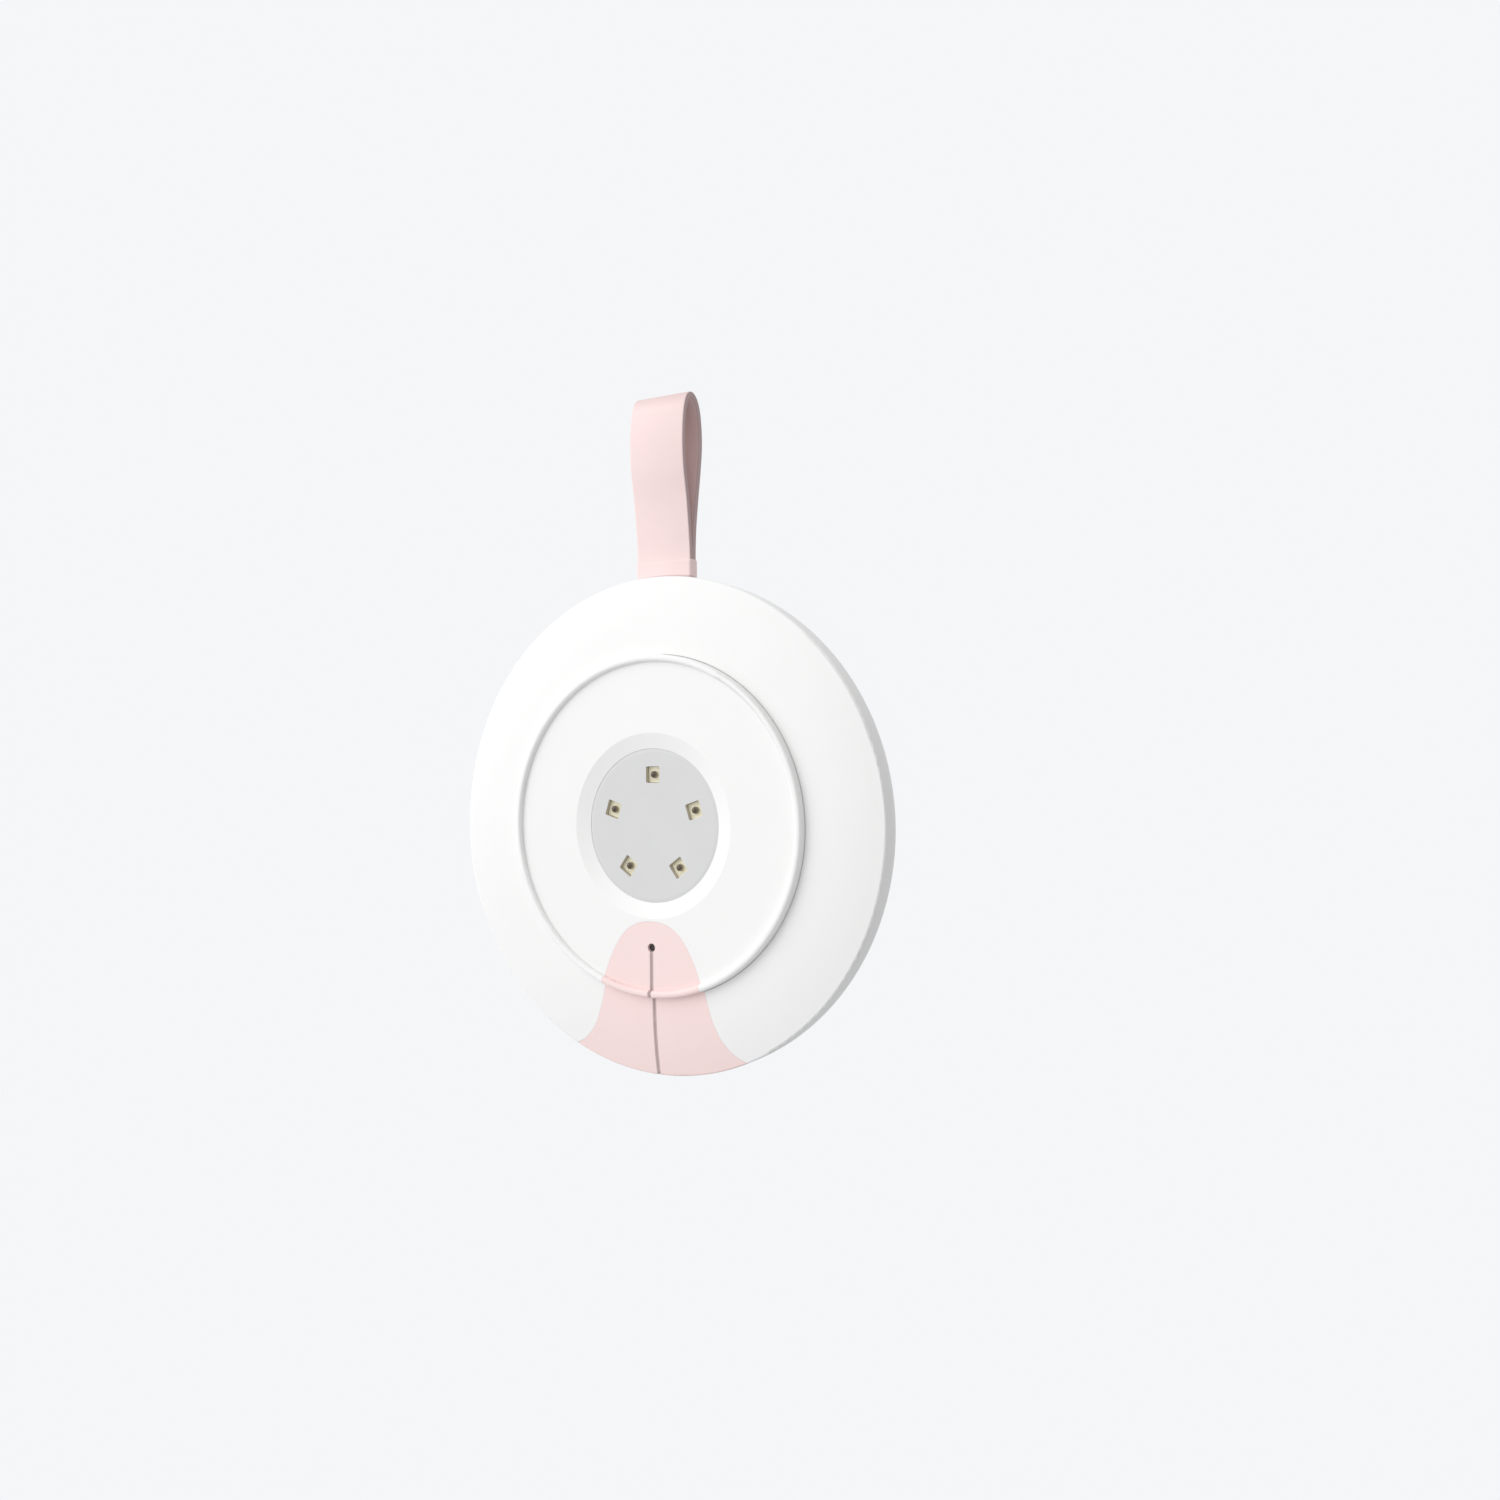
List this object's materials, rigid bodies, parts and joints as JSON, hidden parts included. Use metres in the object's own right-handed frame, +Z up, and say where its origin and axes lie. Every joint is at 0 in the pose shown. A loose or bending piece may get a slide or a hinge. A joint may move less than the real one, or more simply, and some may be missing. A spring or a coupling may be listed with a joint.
{
  "type": "rechargeable uv led nail lamp",
  "caption": "Palm-sized rechargeable disc lamp that hangs from a flat loop; LEDs in a round plate on its domed face cure gel nails.",
  "frame": {"origin": "the top of the strap loop's inside, at mid width, where a hook or finger carries the lamp", "axes": "+Z up along the hanging lamp, -Y out of the lit face, +Y out of the back, +X to the right as the lit face is seen"},
  "size_m": [0.11, 0.0169, 0.1511],
  "materials": {
    "white_shell": "fine satin moulding, slightly glossy",
    "pink_silicone": "matt soft silicone",
    "pink_inlay": "satin moulding",
    "plate_grey": "even matt grey",
    "led_ceramic": "matt cream ceramic",
    "led_glass": "dark polished window",
    "metal_board": "white solder mask on metal",
    "thermal_pad": "soft matt pad",
    "aluminium": "milled",
    "steel": "zinc plated",
    "inlet_steel": "drawn stainless",
    "brass": "turned",
    "circuit_board": "green solder mask",
    "chip_black": "moulded epoxy",
    "capacitor_tan": "sintered ceramic",
    "light_pipe": "clear moulding",
    "smoked_pipe": "smoked moulding",
    "cell_foil": "laminated foil pouch",
    "foam_tape": "closed-cell foam",
    "wire_red": "silicone insulation",
    "wire_black": "silicone insulation",
    "foot_rubber": "soft matt rubber"
  },
  "bodies": {
    "strap": {"strap_loop": "pink_silicone"},
    "lamp": {"strap_anchor": "pink_silicone", "front_cover": "white_shell", "rear_cover": "white_shell", "face_panel": "white_shell", "front_tongue": "pink_inlay", "reflector_plate": "plate_grey", "led_board": "metal_board", "thermal_pad": "thermal_pad", "heat_spreader": "aluminium", "spreader_screws": "steel", "board_standoffs": "brass", "main_board": "circuit_board", "board_screws": "steel", "charger_chip": "chip_black", "control_chip": "chip_black", "driver_inductor": "chip_black", "board_capacitors": "capacitor_tan", "tact_switch": "chip_black", "usb_socket_shell": "inlet_steel", "usb_socket_insert": "chip_black", "charge_led": "led_ceramic", "charge_light_pipe": "light_pipe", "presence_sensor": "chip_black", "sensor_light_guide": "smoked_pipe", "battery": "cell_foil", "battery_tape": "foam_tape", "battery_lead_red": "wire_red", "battery_lead_black": "wire_black", "led_lead_red": "wire_red", "led_lead_black": "wire_black", "housing_screws": "steel", "rubber_feet": "foot_rubber", "led_package_1": "led_ceramic", "led_window_1": "led_glass", "led_package_2": "led_ceramic", "led_window_2": "led_glass", "led_package_3": "led_ceramic", "led_window_3": "led_glass", "led_package_4": "led_ceramic", "led_window_4": "led_glass", "led_package_5": "led_ceramic", "led_window_5": "led_glass"},
    "button": {"power_button": "pink_inlay", "switch_plunger": "chip_black"}
  },
  "joints": [
    {"name": "strap_bend", "type": "hinge", "parent": "strap", "child": "lamp", "pos_m": [0, 0.0002, -0.03405], "axis": [1, 0, 0], "range_deg": [-90, 90], "stiffness_Nm_per_rad": 0.03},
    {"name": "button_press", "type": "slide", "parent": "lamp", "child": "button", "axis": [0, -1, 0], "range_m": [0, 0.0004], "stiffness_N_per_m": 2500}
  ]
}
